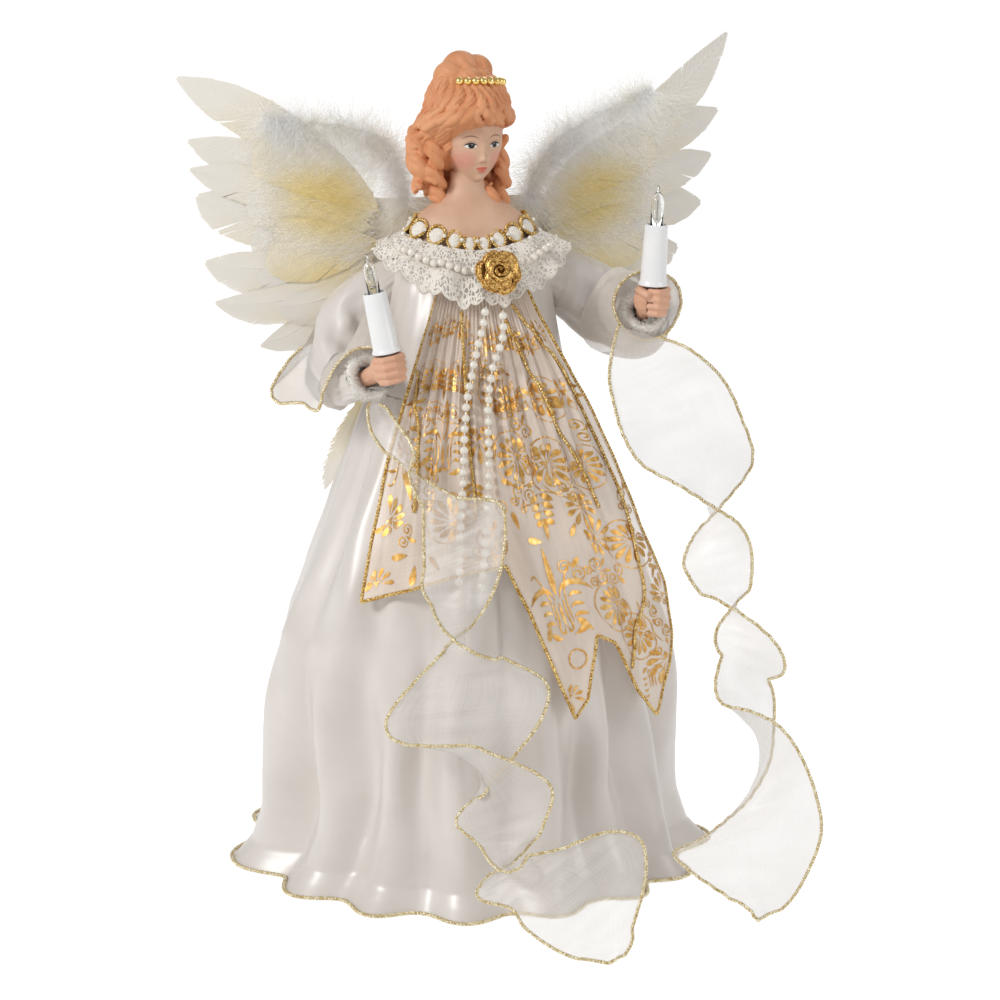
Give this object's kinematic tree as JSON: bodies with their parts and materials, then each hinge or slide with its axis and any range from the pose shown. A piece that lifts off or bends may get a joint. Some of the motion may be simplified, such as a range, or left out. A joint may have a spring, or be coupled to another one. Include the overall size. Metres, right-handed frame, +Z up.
{
  "type": "angel tree topper",
  "caption": "Angel tree topper: porcelain bust on a hollow cone, satin dress, organza tunic and scarves, feather wings, and hands that hold candle lamps.",
  "frame": {"origin": "on the cone's axis, at the surface it stands on", "axes": "+Z up along the cone's axis; the angel faces -Y; the angel's right hand is towards -X"},
  "size_m": [0.2586, 0.2583, 0.3593],
  "materials": {
    "porcelain": "matte bisque, painted",
    "card": "matte",
    "wood": "bare",
    "satin": "satin",
    "netting": "stiff netting",
    "printed_organza": "sheer with gold foil print",
    "organza": "sheer with gold cord edge",
    "lace": "lace",
    "gold_braid": "metallic thread",
    "gold_ribbon": "metallic ribbon",
    "gold_bead": "gold",
    "pearl": "pearl",
    "fur": "fluffy",
    "feather": "feather",
    "yellow_feather": "tinted feather",
    "white_plastic": "gloss",
    "glass": "clear",
    "steel_wire": "plain",
    "grey_lead": "matte"
  },
  "bodies": {
    "figure": {"inner_cone": "card", "neck_dowel": "wood", "petticoat": "netting", "satin_skirt": "satin", "satin_bodice": "satin", "organza_tunic": "printed_organza", "head_and_bust": "porcelain", "tiara_beads": "gold_bead", "lace_collar": "lace", "neckline_braid": "gold_braid", "pearl_necklace": "pearl", "ribbon_rose": "gold_ribbon", "lead_junction": "grey_lead", "wing_card": "card", "tail_feather": "feather", "pearl_strand_right": "pearl", "sleeve_right": "satin", "organza_bell_right": "organza", "fur_cuff_right": "fur", "arm_wire_right": "steel_wire", "lamp_lead_right": "grey_lead", "scarf_right": "organza", "marabou_right": "fur", "primary_1_right": "feather", "primary_2_right": "feather", "primary_3_right": "feather", "primary_4_right": "feather", "primary_5_right": "feather", "secondary_1_right": "feather", "secondary_2_right": "feather", "covert_1_right": "yellow_feather", "covert_2_right": "yellow_feather", "pearl_strand_left": "pearl", "sleeve_left": "satin", "organza_bell_left": "organza", "fur_cuff_left": "fur", "arm_wire_left": "steel_wire", "lamp_lead_left": "grey_lead", "scarf_left": "organza", "marabou_left": "fur", "primary_1_left": "feather", "primary_2_left": "feather", "primary_3_left": "feather", "primary_4_left": "feather", "primary_5_left": "feather", "secondary_1_left": "feather", "secondary_2_left": "feather", "covert_1_left": "yellow_feather", "covert_2_left": "yellow_feather"},
    "right_hand": {"hand_right": "porcelain", "candle_cover_right": "white_plastic", "lamp_socket_right": "white_plastic"},
    "right_lamp": {"lamp_base_right": "white_plastic", "lamp_glass_right": "glass"},
    "left_hand": {"hand_left": "porcelain", "candle_cover_left": "white_plastic", "lamp_socket_left": "white_plastic"},
    "left_lamp": {"lamp_base_left": "white_plastic", "lamp_glass_left": "glass"}
  },
  "joints": [
    {"name": "right_hand_turn", "type": "hinge", "parent": "figure", "child": "right_hand", "pos_m": [-0.05165, -0.03129, 0.22174], "axis": [0.426, -0.7887, 0.4432], "range_deg": [-15, 15], "deforming": ["lamp_lead_right"]},
    {"name": "right_lamp_pull", "type": "slide", "parent": "right_hand", "child": "right_lamp", "axis": [-0.1902, 0.03, 0.9813], "range_m": [0, 0.011]},
    {"name": "left_hand_turn", "type": "hinge", "parent": "figure", "child": "left_hand", "pos_m": [0.0709, -0.02958, 0.24618], "axis": [-0.1096, -0.8296, 0.5474], "range_deg": [-15, 15], "deforming": ["lamp_lead_left"]},
    {"name": "left_lamp_pull", "type": "slide", "parent": "left_hand", "child": "left_lamp", "axis": [0.045, -0.01, 0.9989], "range_m": [0, 0.011]}
  ]
}
